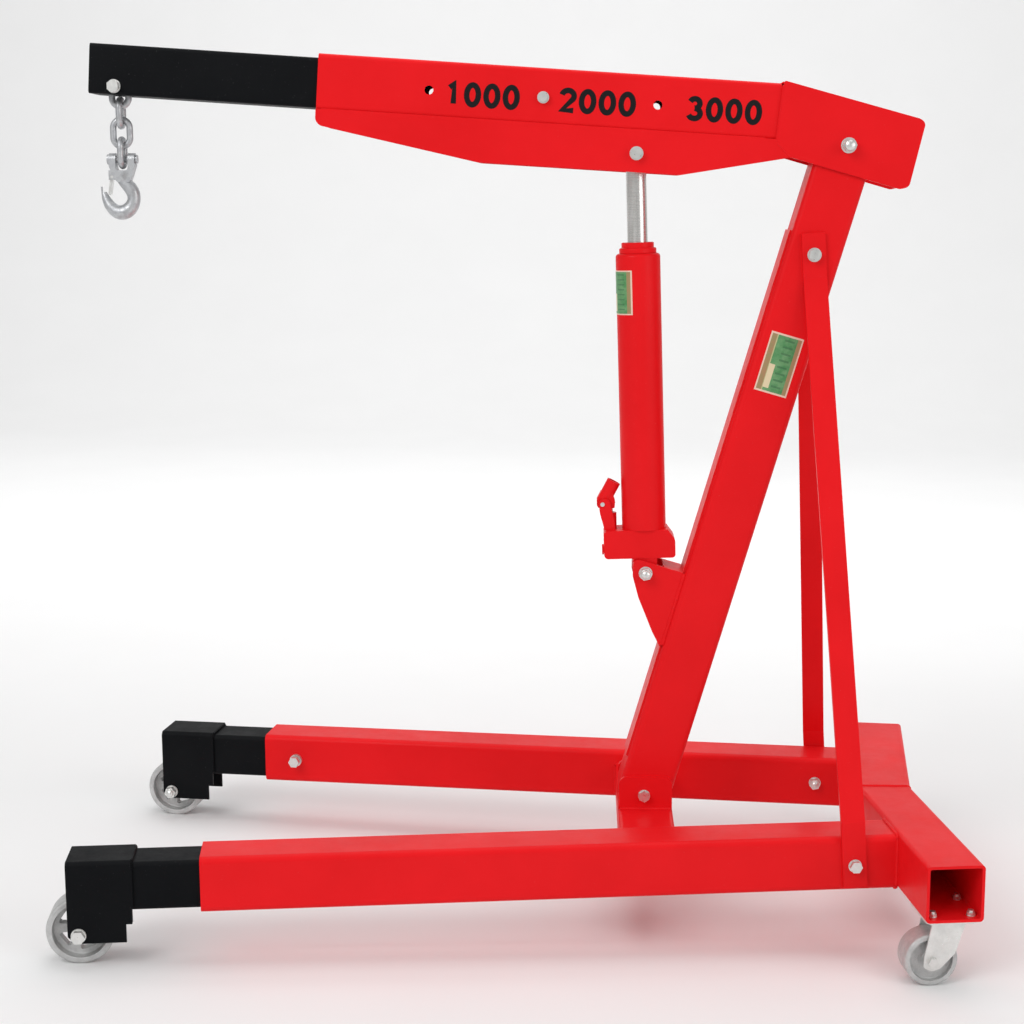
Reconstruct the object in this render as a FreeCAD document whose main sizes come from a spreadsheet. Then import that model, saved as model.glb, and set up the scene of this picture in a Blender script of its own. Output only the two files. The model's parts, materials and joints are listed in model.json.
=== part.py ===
# Folding engine hoist crane: mast on a two-legged wheeled base, box boom with a
# telescopic extension, long ram jack, short chain with a swivelling slip hook.
# Axes: X to the rear, Y to the far side, Z up, floor at Z = 0, mid-plane at Y = 0.
import FreeCAD, Part
import math
import os

Vector = FreeCAD.Vector
Rotation = FreeCAD.Rotation
Placement = FreeCAD.Placement

doc = FreeCAD.newDocument("engine_hoist")
sheet = doc.addObject("Spreadsheet::Sheet", "Dims")

# Driving dimensions, millimetres and degrees.
DIMS = {
    "origin_shift": 533.25,      # rear cross tube to the middle of the bounding box
    "stance_deg": 1.195,        # the rear of the base stands higher on its casters
    "stance_lift": 17.70,
    "splay_deg": 7.0,           # each leg opens outward toward the front
    "leg_side": 75.0,           # leg tube, square
    "leg_wall": 4.0,
    "leg_top": 150.0,           # height of the legs' top face
    "leg_offset": 168.0,        # leg centre line from the rear tube's middle
    "leg_front": 966.0,         # front end of the leg tube
    "rear_side": 76.0,          # rear cross tube, square
    "rear_wall": 4.0,
    "rear_half": 335.0,         # one half of the rear cross tube
    "ext_side": 65.0,           # leg extension tube
    "ext_wall": 4.0,
    "ext_front": 1078.0,
    "ext_back": 716.0,
    "bracket_wall": 4.0,
    "axle_x": 1124.5,
    "wheel_radius": 44.8,
    "wheel_width": 42.0,
    "caster_offset": 292.0,
    "caster_radius": 35.0,
    "caster_width": 38.0,
    "caster_trail": 21.0,
    "caster_axle": 17.0,        # height of the axle in the base's own axes
    "cross_height": 50.0,
    "cross_base": 79.5,         # underside of the mast cross member
    "mast_side": 75.0,
    "mast_wall": 4.0,
    "mast_stub": 33.0,          # mast end above the boom pivot
    "foot_plate": 6.0,
    "strut_width": 32.0,
    "strut_thick": 6.0,
    "boom_width": 77.0,
    "boom_height": 76.0,
    "boom_wall": 3.0,
    "boom_length": 722.0,       # pivot to the front of the sleeve
    "boom_angle": 4.0,
    "cheek_thick": 4.0,
    "inner_width": 69.0,        # boom extension tube
    "inner_height": 67.0,
    "inner_wall": 4.0,
    "inner_front": 1035.0,
    "inner_back": 225.0,
    "index_first": 570.0,       # front index hole from the pivot
    "index_pitch": 155.0,
    "index_radius": 6.0,
    "cylinder_radius": 31.0,
    "cylinder_base": 60.0,
    "cylinder_top": 446.0,
    "gland_top": 461.0,
    "rod_radius": 14.0,
    "link_wire": 9.0,
    "link_pitch": 27.0,
    "link_width": 32.0,
    "running_gap": 0.05,
}
for row, (name, value) in enumerate(DIMS.items(), start=1):
    sheet.set("A%d" % row, name)
    sheet.set("B%d" % row, str(value))
    sheet.setAlias("B%d" % row, name)
doc.recompute()

SPLAY = DIMS["splay_deg"]
SHIFT = Vector(DIMS["origin_shift"], 0, 0)
Y_AXIS = Vector(0, 1, 0)
Z_AXIS = Vector(0, 0, 1)
FOOT = Vector(-348, 0, 150)         # mast foot bolt
PIVOT = Vector(-80, 0, 1062.5)      # boom pivot
JACK_PIN = Vector(-348, 0, 472.5)   # jack base pivot
MAST_LEAN = math.degrees(math.atan2(PIVOT.x - FOOT.x, PIVOT.z - FOOT.z))
MAST_REACH = (PIVOT - FOOT).Length

WORLD = Placement(SHIFT, Rotation())
MAST = Placement(SHIFT + FOOT, Rotation(Y_AXIS, MAST_LEAN))
BOOM = Placement(SHIFT + PIVOT, Rotation(Y_AXIS, DIMS["boom_angle"]))
RAM_X = -284.0
RAM_Z = -29.0
RAM_PIN = BOOM.multVec(Vector(RAM_X, 0, RAM_Z)) - SHIFT
JACK_LEAN = math.degrees(math.atan2(RAM_PIN.x - JACK_PIN.x, RAM_PIN.z - JACK_PIN.z))
JACK_REACH = (RAM_PIN - JACK_PIN).Length
JACK = Placement(SHIFT + JACK_PIN, Rotation(Y_AXIS, JACK_LEAN))
HOOK_BOLT = BOOM.multVec(Vector(-1000, 0, 14.5)) - SHIFT
HANG = Placement(SHIFT + HOOK_BOLT, Rotation())
SIDES = (("near", -1), ("far", 1))
# The base's own axes, set on the floor: tilted back a little and lifted.
STANCE = Placement(SHIFT + Vector(0, 0, DIMS["stance_lift"]),
                   Rotation(Y_AXIS, -DIMS["stance_deg"]))

parts = []


def side_frame(side):
    return Placement(SHIFT, Rotation(Z_AXIS, -side * SPLAY))


def keep(node, label):
    """Names a finished sub-part and sets it on the floor with the rest."""
    node.Label = label
    node.Placement = STANCE.multiply(Placement(-SHIFT, Rotation())).multiply(node.Placement)
    parts.append(node)
    return node


def new_body(label, place):
    body = doc.addObject("PartDesign::Body", label)
    body.Placement = place
    return body


def new_sketch(body, role, offset=0.0):
    sketch = body.newObject("Sketcher::SketchObject", body.Name + "_Sketch")
    plane = [f for f in body.Origin.OriginFeatures if f.Role == role][0]
    sketch.AttachmentSupport = [(plane, "")]
    sketch.MapMode = "FlatFace"
    sketch.AttachmentOffset = Placement(Vector(0, 0, offset), Rotation())
    return sketch


def corner_arc(before, corner, after, radius):
    """Tangent points and arc that round one corner of an outline."""
    to_before = (before - corner).normalize()
    to_after = (after - corner).normalize()
    half = to_before.getAngle(to_after) / 2
    start = corner + to_before * (radius / math.tan(half))
    end = corner + to_after * (radius / math.tan(half))
    centre = corner + (to_before + to_after).normalize() * (radius / math.sin(half))
    middle = centre + (corner - centre).normalize() * radius
    return start, end, Part.Arc(start, middle, end)


def draw_outline(sketch, points, radii=0.0):
    """Closed outline from (u, v) points; radii is one value or one per corner."""
    corners = [Vector(u, v, 0) for u, v in points]
    count = len(corners)
    if not isinstance(radii, (list, tuple)):
        radii = [radii] * count
    ends = []
    for i in range(count):
        if radii[i] > 0:
            ends.append(corner_arc(corners[i - 1], corners[i], corners[(i + 1) % count], radii[i]))
        else:
            ends.append((corners[i], corners[i], None))
    for i in range(count):
        if ends[i][2] is not None:
            sketch.addGeometry(ends[i][2], False)
        sketch.addGeometry(Part.LineSegment(ends[i][1], ends[(i + 1) % count][0]), False)


def draw_box(sketch, u, v, width, height, radius=0.0):
    left, right = u - width / 2, u + width / 2
    low, high = v - height / 2, v + height / 2
    draw_outline(sketch, [(left, low), (right, low), (right, high), (left, high)], radius)


def draw_circle(sketch, u, v, radius):
    sketch.addGeometry(Part.Circle(Vector(u, v, 0), Z_AXIS, radius), False)


def extrude(body, sketch, kind, length, through=False, both=False, reverse=False):
    """Pad or Pocket; length is a number or a spreadsheet expression."""
    step = body.newObject("PartDesign::" + kind, body.Name + "_" + kind)
    step.Profile = sketch
    step.Reversed = reverse
    if both:
        step.SideType = "Symmetric"
    if through:
        step.Type = "ThroughAll"
    elif isinstance(length, str):
        step.setExpression("Length", length)
    else:
        step.Length = length
    body.Tip = step
    doc.recompute()
    return step


def drill(body, role, u, v, radius, depth=2000.0):
    """Round cut along a principal axis, centred on the origin plane."""
    sketch = new_sketch(body, role)
    draw_circle(sketch, u, v, radius)
    cut = extrude(body, sketch, "Pocket", depth, both=True)
    return cut


def cut_outline(body, role, points, depth=2000.0, radii=0.0):
    sketch = new_sketch(body, role)
    draw_outline(sketch, points, radii)
    return extrude(body, sketch, "Pocket", depth, both=True)


def side_plate(label, place, points, y_low, thickness, radii=0.0):
    """Flat plate with an XZ outline, from y_low to y_low + thickness."""
    body = new_body(label, place)
    width = DIMS[thickness.split(".")[1]] if isinstance(thickness, str) else thickness
    sketch = new_sketch(body, "XZ_Plane", -(y_low + width))
    draw_outline(sketch, points, radii)
    extrude(body, sketch, "Pad", thickness)
    return body


def part_cylinder(radius, height, place):
    piece = doc.addObject("Part::Cylinder", "Cylinder")
    piece.Radius = radius
    piece.Height = height
    piece.Placement = place
    return piece


def part_box(size, place):
    piece = doc.addObject("Part::Box", "Box")
    piece.Length, piece.Width, piece.Height = size
    piece.Placement = place
    return piece


def part_prism(flats, height, place):
    piece = doc.addObject("Part::Prism", "Prism")
    piece.Polygon = 6
    piece.Circumradius = flats / math.sqrt(3)
    piece.Height = height
    piece.Placement = place
    return piece


def fuse(label, pieces, place=None):
    node = doc.addObject("Part::MultiFuse", label)
    node.Shapes = pieces
    if place is not None:
        node.Placement = place
    doc.recompute()
    return node


def subtract(label, base, tool, place=None):
    node = doc.addObject("Part::Cut", label)
    node.Base = base
    node.Tool = tool
    if place is not None:
        node.Placement = place
    doc.recompute()
    return node


def group(label, pieces, place):
    node = doc.addObject("Part::Compound", label)
    node.Links = pieces
    node.Placement = place
    doc.recompute()
    return node


def gather(label, nodes):
    """Identical pieces of both sides under one label, each left where it is."""
    node = doc.addObject("Part::Compound", label)
    node.Links = nodes
    doc.recompute()
    return keep(node, label)


def at(x, y, z, axis=None, angle=0.0):
    turn = Rotation() if axis is None else Rotation(axis, angle)
    return Placement(Vector(x, y, z), turn)


def hex_bolt(radius, grip, flats, centre, nut=True, washer=1.5, spin=0.0, head_side=-1):
    """Bolt along Y through a grip centred on the given point, head on one side."""
    x, y, z = centre
    along_y = Rotation(Vector(1, 0, 0), -90)     # local Z to +Y
    frame = Placement(Vector(x, y, z), along_y)
    if head_side > 0:
        frame = Placement(Vector(x, y, z), Rotation(Vector(1, 0, 0), 90))
    head = 0.65 * 2 * radius
    half = grip / 2
    tail = 2 * radius + 3 if nut else 0.0

    def local(depth, turn=0.0):
        return frame.multiply(Placement(Vector(0, 0, depth), Rotation(Z_AXIS, turn)))

    pieces = [
        part_prism(flats, head, local(-half - washer - head, spin)),
        part_cylinder(flats * 0.62, washer, local(-half - washer)),
        part_cylinder(radius, grip + washer + tail if nut else grip, local(-half - washer)),
    ]
    if nut:
        pieces.append(part_cylinder(flats * 0.62, washer, local(half)))
        pieces.append(part_prism(flats, 0.8 * 2 * radius, local(half + washer, spin + 12)))
    return fuse("Bolt", pieces)


# ---------------------------------------------------------------- base frame
REAR_Z = 115.3          # centre of the rear cross tube
CASTER_X = 25.4         # caster bolt pattern, half spacings
CASTER_Y = 29.0


def rear_beam(name, side):
    """Half of the rear cross tube, mitred at the mid-plane, end open."""
    body = new_body("rear_beam_" + name, side_frame(side))
    size, wall = DIMS["rear_side"], DIMS["rear_wall"]
    sketch = new_sketch(body, "XZ_Plane", -6.0 if side < 0 else -DIMS["rear_half"])
    draw_box(sketch, 0, REAR_Z, size, size, 5.5)
    draw_box(sketch, 0, REAR_Z, size - 2 * wall, size - 2 * wall, 2.5)
    extrude(body, sketch, "Pad", "Dims.rear_half + 6")
    slope = math.tan(math.radians(SPLAY))
    outward = [(-60, -60 * slope), (60, 60 * slope), (60, -40), (-60, -40)]
    cut_outline(body, "XY_Plane", [(x, side * d) for x, d in outward])
    offset = DIMS["caster_offset"]
    sketch = new_sketch(body, "XY_Plane", REAR_Z - size / 2 - 5)
    for x in (-CASTER_X, CASTER_X):
        for d in (offset - CASTER_Y, offset + CASTER_Y):
            draw_circle(sketch, x, side * d, 4.0 + DIMS["running_gap"])
    extrude(body, sketch, "Pocket", 20.0, reverse=True)
    return keep(body, "rear_beam_" + name)


def leg(name, side):
    """Square leg tube welded to the rear cross tube, open at the front."""
    body = new_body("leg_" + name, side_frame(side))
    size, wall = DIMS["leg_side"], DIMS["leg_wall"]
    back = -DIMS["rear_side"] / 2
    y, z = side * DIMS["leg_offset"], DIMS["leg_top"] - size / 2
    sketch = new_sketch(body, "YZ_Plane", -DIMS["leg_front"])
    draw_box(sketch, y, z, size, size, 9)
    draw_box(sketch, y, z, size - 2 * wall, size - 2 * wall, 5)
    extrude(body, sketch, "Pad", "Dims.leg_front - Dims.rear_side / 2")
    drill(body, "XZ_Plane", STRUT_FOOT_X, z, 6.0 + DIMS["running_gap"])
    inner = side * (DIMS["leg_offset"] - size / 2)
    sketch = new_sketch(body, "XZ_Plane", -inner - 6)
    draw_circle(sketch, LOCK_X, z, 5.0 + DIMS["running_gap"])
    extrude(body, sketch, "Pocket", 12.0, reverse=True)
    return keep(body, "leg_" + name)


STRUT_FOOT_X = -98.2
LOCK_X = -915.0


def crossmember():
    """Rectangular tube between the legs that carries the mast foot."""
    body = new_body("crossmember", WORLD)
    slope = math.tan(math.radians(SPLAY))
    root = 169.0 - DIMS["leg_side"] / 2 / math.cos(math.radians(SPLAY))
    front, back = -385.0, -307.0
    low, height = DIMS["cross_base"], DIMS["cross_height"]
    sketch = new_sketch(body, "XZ_Plane")
    draw_box(sketch, (front + back) / 2, low + height / 2, back - front, height, 6)
    draw_box(sketch, (front + back) / 2, low + height / 2, back - front - 8, height - 8, 2)
    extrude(body, sketch, "Pad", 400.0, both=True)
    y_front, y_back = root - (front - 10) * slope, root - (back + 10) * slope
    for side in (-1, 1):
        cut_outline(body, "XY_Plane", [(front - 10, side * y_front), (back + 10, side * y_back),
                                       (back + 10, side * 260), (front - 10, side * 260)])
    return keep(body, "crossmember")


def foot_plate(name, side):
    """Upright lug beside the mast foot."""
    low = DIMS["cross_base"] + DIMS["cross_height"]
    points = [(-384, low), (-308, low), (-308, low + 48), (-384, low + 48)]
    y_low = DIMS["mast_side"] / 2 if side > 0 else -DIMS["mast_side"] / 2 - DIMS["foot_plate"]
    body = side_plate("mast_foot_plate_" + name, WORLD, points, y_low, "Dims.foot_plate",
                      [0, 0, 12, 12])
    drill(body, "XZ_Plane", FOOT.x, FOOT.z, 5.0 + DIMS["running_gap"])
    return body


def mast():
    """Leaning square post; lower end cut level, side holes for its bolts."""
    body = new_body("mast", MAST)
    size, wall = DIMS["mast_side"], DIMS["mast_wall"]
    sketch = new_sketch(body, "XY_Plane", -45)
    draw_box(sketch, 0, 0, size, size, 8)
    draw_box(sketch, 0, 0, size - 2 * wall, size - 2 * wall, 4)
    extrude(body, sketch, "Pad", MAST_REACH + DIMS["mast_stub"] + 45)
    lean = math.radians(MAST_LEAN)
    drop = FOOT.z - DIMS["cross_base"] - DIMS["cross_height"]

    def level(x):
        return (-drop + x * math.sin(lean)) / math.cos(lean)

    cut_outline(body, "XZ_Plane", [(-60, level(-60)), (60, level(60)), (60, -90), (-60, -90)])
    front = [MAST.inverse().multVec(SHIFT + Vector(x, 0, z))
             for x, z in ((-384, 100), (-384, 200), (-430, 200), (-430, 100))]
    cut_outline(body, "XZ_Plane", [(v.x, v.z) for v in front])
    drill(body, "XZ_Plane", 0, 0, 5.0 + DIMS["running_gap"])
    drill(body, "XZ_Plane", 0, STRUT_TOP, 6.0 + DIMS["running_gap"])
    drill(body, "XZ_Plane", 0, MAST_REACH, 7.0 + DIMS["running_gap"])
    return keep(body, "mast")


STRUT_TOP = 799.0


def mast_front_plate():
    """Thin stiffener on the mast's front face."""
    points = [(-40.5, 45), (-37.5, 45), (-37.5, 822), (-40.5, 822)]
    return keep(side_plate("mast_front_plate", MAST, points, -28.0, 56.0), "mast_front_plate")


def jack_bracket(name, side):
    """Side plate that carries the jack's base pivot."""
    points = [(-40.5, 325), (-114, 325), (-107, 300), (-90.6, 273), (-57.6, 231), (-40.5, 213)]
    y_low = 28.0 if side > 0 else -33.0
    body = side_plate("jack_bracket_" + name, MAST, points, y_low, 5.0, [0, 8, 6, 20, 20, 0])
    pin = MAST.inverse().multVec(SHIFT + JACK_PIN)
    drill(body, "XZ_Plane", pin.x, pin.z, 6.0 + DIMS["running_gap"])
    return body


def jack_bracket_web():
    points = [(-45.5, 225), (-40.5, 225), (-40.5, 325), (-69, 325), (-69, 320), (-45.5, 320)]
    return keep(side_plate("jack_bracket_web", MAST, points, -28.0, 56.0), "jack_bracket_web")


def strut(name, side):
    """Bent flat bar from the mast's side to the leg's outer face."""
    splay = math.radians(SPLAY)
    half, thick = DIMS["strut_width"] / 2, DIMS["strut_thick"]
    top, foot = MAST.multVec(Vector(0, 0, STRUT_TOP)) - SHIFT, Vector(-72.6, 0, 112.5)
    slope = (top.x - foot.x) / (top.z - foot.z)
    along = Vector(math.cos(splay), -side * math.sin(splay), 0)
    outward = Vector(math.sin(splay), side * math.cos(splay), 0)
    wires = []
    for z, on_leg in ((946, False), (885, False), (172, True), (82, True)):
        x = foot.x + (z - foot.z) * slope
        if on_leg:
            reach = (DIMS["leg_offset"] + DIMS["leg_side"] / 2 + 0.02) / math.cos(splay)
            reach -= x * math.tan(splay)
            centre, wide, deep = Vector(x, side * reach, z), along, outward
        else:
            centre = Vector(x, side * DIMS["mast_side"] / 2, z)
            wide, deep = Vector(1, 0, 0), Vector(0, side, 0)
        wide = wide + Vector(0, 0, -slope)
        corners = [centre - wide * half, centre + wide * half,
                   centre + wide * half + deep * thick, centre - wide * half + deep * thick]
        wires.append(Part.makePolygon(corners + corners[:1]))
    bar = Part.makeLoft(wires, True, True)
    if bar.Volume < 0:
        bar.reverse()
    hole_top = Part.makeCylinder(6.0 + DIMS["running_gap"], 80, Vector(top.x, side * 10, top.z),
                                 Vector(0, side, 0))
    leg_hole = side_frame(side).multVec(Vector(STRUT_FOOT_X, side * 180, 112.5)) - SHIFT
    hole_foot = Part.makeCylinder(6.0 + DIMS["running_gap"], 80, leg_hole, outward)
    bar = bar.cut(hole_top).cut(hole_foot)
    node = doc.addObject("Part::Feature", "strut_" + name)
    node.Shape = bar
    node.Placement = WORLD
    return keep(node, "strut_" + name)


def frame_bolts():
    """Bolts that stay with the base frame."""
    side = DIMS["mast_side"]
    foot = hex_bolt(5.0, side + 12, 14, (0, 0, 0), spin=10)
    keep(group("mast_foot_bolt", [foot], MAST), "mast_foot_bolt")
    top = hex_bolt(6.0, side + 12, 15.5, (0, 0, STRUT_TOP), spin=20)
    keep(group("strut_top_bolt", [top], MAST), "strut_top_bolt")
    pivot = hex_bolt(7.0, 85.4, 17, (0, 0, MAST_REACH), spin=5, head_side=1)
    keep(group("boom_pivot_bolt", [pivot], MAST), "boom_pivot_bolt")
    pin = MAST.inverse().multVec(SHIFT + JACK_PIN)
    base = hex_bolt(6.0, 66.0, 15.5, (pin.x, 0, pin.z), spin=15, head_side=1)
    keep(group("jack_base_bolt", [base], MAST), "jack_base_bolt")
    feet = []
    for name, s in SIDES:
        y = s * (DIMS["leg_offset"] + 3.02)
        bolt = hex_bolt(6.0, DIMS["leg_side"] + 6.04, 14.5, (STRUT_FOOT_X, y, 112.5), head_side=s)
        feet.append(group("strut_foot_bolt_" + name, [bolt], side_frame(s)))
    gather("strut_foot_bolts", feet)


def lock_bolt(name, side):
    """Set screw through the leg's inner wall against the extension tube."""
    wall = DIMS["leg_offset"] - DIMS["leg_side"] / 2
    shank = part_cylinder(5.0, 4.6 + 12, at(LOCK_X, side * (wall + 4.6), 112.5,
                                            Vector(1, 0, 0), 90 * side))
    head = part_prism(15, 7, at(LOCK_X, side * (wall - 12 + 1.5), 112.5,
                                Vector(1, 0, 0), 90 * side))
    nut = part_cylinder(9.5, 5.5, at(LOCK_X, side * wall, 112.5, Vector(1, 0, 0), 90 * side))
    bolt = fuse("Bolt", [shank, head, nut])
    return group("leg_lock_bolt_" + name, [bolt], side_frame(side))


# ---------------------------------------------------------------- wheels
def leg_extension(name, side):
    """Sliding inner tube with nothing cut in it."""
    body = new_body("leg_extension_" + name, side_frame(side))
    size, wall = DIMS["ext_side"], DIMS["ext_wall"]
    sketch = new_sketch(body, "YZ_Plane", -DIMS["ext_front"])
    y, z = side * DIMS["leg_offset"], DIMS["leg_top"] - DIMS["leg_side"] / 2
    draw_box(sketch, y, z, size, size, 7)
    draw_box(sketch, y, z, size - 2 * wall, size - 2 * wall, 3)
    extrude(body, sketch, "Pad", "Dims.ext_front - Dims.ext_back")
    return keep(body, "leg_extension_" + name)


def wheel_bracket(name, side):
    """Folded channel, open below, over the front wheel and the tube's end."""
    centre = side * DIMS["leg_offset"]
    size, wall = DIMS["ext_side"], DIMS["bracket_wall"]
    outer = size / 2 + wall
    top = DIMS["leg_top"] - DIMS["leg_side"] / 2 + size / 2 + wall
    low = 38.5
    body = new_body("wheel_bracket_" + name, side_frame(side))
    sketch = new_sketch(body, "YZ_Plane", -1138.5)
    draw_outline(sketch, [(centre - outer, low), (centre - size / 2, low),
                          (centre - size / 2, top - wall), (centre + size / 2, top - wall),
                          (centre + size / 2, low), (centre + outer, low),
                          (centre + outer, top), (centre - outer, top)],
                 [1, 1, 4, 4, 1, 1, 7, 7])
    extrude(body, sketch, "Pad", 83.5)
    for corner in ([(-1063, 63.5), (-1050, 63.5), (-1050, 30), (-1063, 30)],
                   [(-1140, 50), (-1126, 36), (-1140, 36)]):
        cut_outline(body, "XZ_Plane", corner)
    drill(body, "XZ_Plane", -DIMS["axle_x"], 50, 6.0 + DIMS["running_gap"])
    return keep(body, "wheel_bracket_" + name)


def turned_wheel(body, radius, width, rim, hub, dish, bore=6.0):
    """Wheel blank turned about the Y axis: rounded tread, recessed sides, bore."""
    sketch = new_sketch(body, "XY_Plane")
    half = width / 2
    web = half - dish
    inner = bore + DIMS["running_gap"]
    outline = [(inner, -half), (hub, -half), (hub, -web), (radius - rim, -web),
               (radius - rim, -half), (radius, -half), (radius, half), (radius - rim, half),
               (radius - rim, web), (hub, web), (hub, half), (inner, half)]
    draw_outline(sketch, outline, [0, 1, 2, 2, 1, 3.5, 3.5, 1, 2, 2, 1, 0])
    turn = body.newObject("PartDesign::Revolution", body.Name + "_Turn")
    turn.Profile = sketch
    turn.ReferenceAxis = (sketch, ["V_Axis"])
    turn.Angle = 360.0
    body.Tip = turn
    doc.recompute()


def front_wheel(name, side):
    """Cast wheel with a plain bore, dished sides and five spokes."""
    place = side_frame(side).multiply(at(-DIMS["axle_x"], side * DIMS["leg_offset"], 50))
    body = new_body("front_wheel_" + name, place)
    turned_wheel(body, DIMS["wheel_radius"], DIMS["wheel_width"], 8.5, 13, 14)
    sketch = new_sketch(body, "XZ_Plane")
    for i in range(5):
        angle = 2 * math.pi * i / 5
        spread = 0.42
        window = []
        for r, half in ((18.5, spread * 0.75), (32, spread)):
            pair = [(r * math.cos(angle + k), r * math.sin(angle + k)) for k in (-half, half)]
            window.extend(pair if r < 20 else pair[::-1])
        draw_outline(sketch, window, 3)
    extrude(body, sketch, "Pocket", 200.0, both=True)
    return keep(body, "front_wheel_" + name)


def front_axle(name, side):
    grip = DIMS["ext_side"] + 2 * DIMS["bracket_wall"]
    bolt = hex_bolt(6.0, grip, 16, (-DIMS["axle_x"], side * DIMS["leg_offset"], 50), head_side=side)
    return keep(group("front_axle_" + name, [bolt], side_frame(side)), "front_axle_" + name)


def caster(name, side):
    """Top plate with bolts, swivelling fork, roller wheel and its axle."""
    frame = side_frame(side).multiply(at(0, side * DIMS["caster_offset"], 0))
    radius, trail, axle_z = DIMS["caster_radius"], DIMS["caster_trail"], DIMS["caster_axle"]
    under = REAR_Z - DIMS["rear_side"] / 2
    plate = new_body("caster_plate_" + name, frame)
    sketch = new_sketch(plate, "XY_Plane", under - 3.0)
    draw_box(sketch, 0, 0, 70, 76, 6)
    corners = [(x, y) for x in (-CASTER_X, CASTER_X) for y in (-CASTER_Y, CASTER_Y)]
    for x, y in corners:
        draw_circle(sketch, x, y, 4.0 + DIMS["running_gap"])
    extrude(plate, sketch, "Pad", 3.0)
    sketch = new_sketch(plate, "XY_Plane", under - 6.0)
    draw_circle(sketch, 0, 0, 18)
    extrude(plate, sketch, "Pad", 3.0)
    bolts = []
    floor = under + DIMS["rear_wall"]
    for x, y in corners:
        bolts.append(fuse("Bolt", [
            part_cylinder(4.0, 17, at(x, y, under - 5.5)),
            part_prism(11, 2.5, at(x, y, under - 5.5)),
            part_cylinder(6.0, 1.0, at(x, y, floor)),
            part_prism(10, 4.0, at(x, y, floor + 1.0, Z_AXIS, 17)),
        ]))
    bolts = group("caster_bolts_" + name, bolts, frame)
    half = DIMS["caster_width"] / 2 + 1.5
    top = under - 6.1
    fork = new_body("caster_fork_" + name, frame)
    sketch = new_sketch(fork, "XZ_Plane")
    outline = [(-22, top), (22, top), (19, top - 10), (8, axle_z + 10), (-trail + 11, axle_z - 9),
               (-trail, axle_z - 13), (-trail - 12, axle_z - 8), (-trail - 11, axle_z + 8)]
    draw_outline(sketch, outline, [2, 4, 8, 8, 5, 4, 6, 8])
    extrude(fork, sketch, "Pad", 2 * half + 6, both=True)
    sketch = new_sketch(fork, "YZ_Plane")
    draw_outline(sketch, [(-half, -25), (half, -25), (half, top - 3.0), (-half, top - 3.0)])
    extrude(fork, sketch, "Pocket", 400.0, both=True)
    sketch = new_sketch(fork, "XZ_Plane")
    draw_circle(sketch, -trail, axle_z, 4.0 + DIMS["running_gap"])
    extrude(fork, sketch, "Pocket", 400.0, both=True)
    keep(fork, "caster_fork_" + name)
    axle = hex_bolt(4.0, 2 * half + 6, 12, (-trail, 0, axle_z), washer=1.0, head_side=side)
    keep(group("caster_axle_" + name, [axle], frame), "caster_axle_" + name)
    wheel = new_body("caster_wheel_" + name, frame.multiply(at(-trail, 0, axle_z)))
    turned_wheel(wheel, radius, DIMS["caster_width"], 7, 9, 8, 4.0)
    keep(wheel, "caster_wheel_" + name)
    return plate, bolts


# ---------------------------------------------------------------- boom
def boom_sleeve():
    """Outer box tube; rear end cut back to clear the mast, three index holes."""
    body = new_body("boom_sleeve", BOOM)
    width, height, wall = DIMS["boom_width"], DIMS["boom_height"], DIMS["boom_wall"]
    sketch = new_sketch(body, "YZ_Plane", -DIMS["boom_length"])
    draw_box(sketch, 0, height / 2, width, height, 6)
    draw_box(sketch, 0, height / 2, width - 2 * wall, height - 2 * wall, 3)
    extrude(body, sketch, "Pad", DIMS["boom_length"] - 60)
    cut_outline(body, "XZ_Plane", [(-98, 78), (-62, -2), (-40, -2), (-40, 78)])
    for i in range(3):
        x = -(DIMS["index_first"] - i * DIMS["index_pitch"])
        drill(body, "XZ_Plane", x, INDEX_Z, DIMS["index_radius"])
    return keep(body, "boom_sleeve")


INDEX_Z = 36.7


def boom_cheek(name, side):
    """Welded stiffener plate below the box tube."""
    points = [(-722, 2), (-97, 2), (-97, -2), (-76, -21), (-223, -54), (-497, -55), (-722, -19)]
    y_low = DIMS["boom_width"] / 2
    if side < 0:
        y_low = -y_low - DIMS["cheek_thick"]
    body = side_plate("boom_cheek_" + name, BOOM, points, y_low, "Dims.cheek_thick",
                      [1, 0, 0, 0, 30, 40, 12])
    drill(body, "XZ_Plane", RAM_X, RAM_Z, 6.0 + DIMS["running_gap"])
    return keep(body, "boom_cheek_" + name)


def boom_head():
    """Folded channel over the mast's top, open below and at the rear."""
    half = DIMS["boom_width"] / 2
    wall = DIMS["cheek_thick"]
    body = new_body("boom_head", BOOM)
    sketch = new_sketch(body, "XZ_Plane")
    points = [(-93, 79.5), (91, 41.5), (100, 37), (86, -50), (74, -53.5), (-76, -21), (-97, -2)]
    draw_outline(sketch, points, [2, 0, 8, 9, 9, 0, 0])
    extrude(body, sketch, "Pad", 2 * (half + wall), both=True)
    sketch = new_sketch(body, "XZ_Plane")
    inside = [(-120, 81.0), (84, 38.9), (110, 33.5), (110, -90), (-120, -90)]
    draw_outline(sketch, inside, [0, 0, 0, 0, 0])
    extrude(body, sketch, "Pocket", 2 * half, both=True)
    drill(body, "XZ_Plane", 0, 0, 7.0 + DIMS["running_gap"])
    return keep(body, "boom_head")


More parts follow.
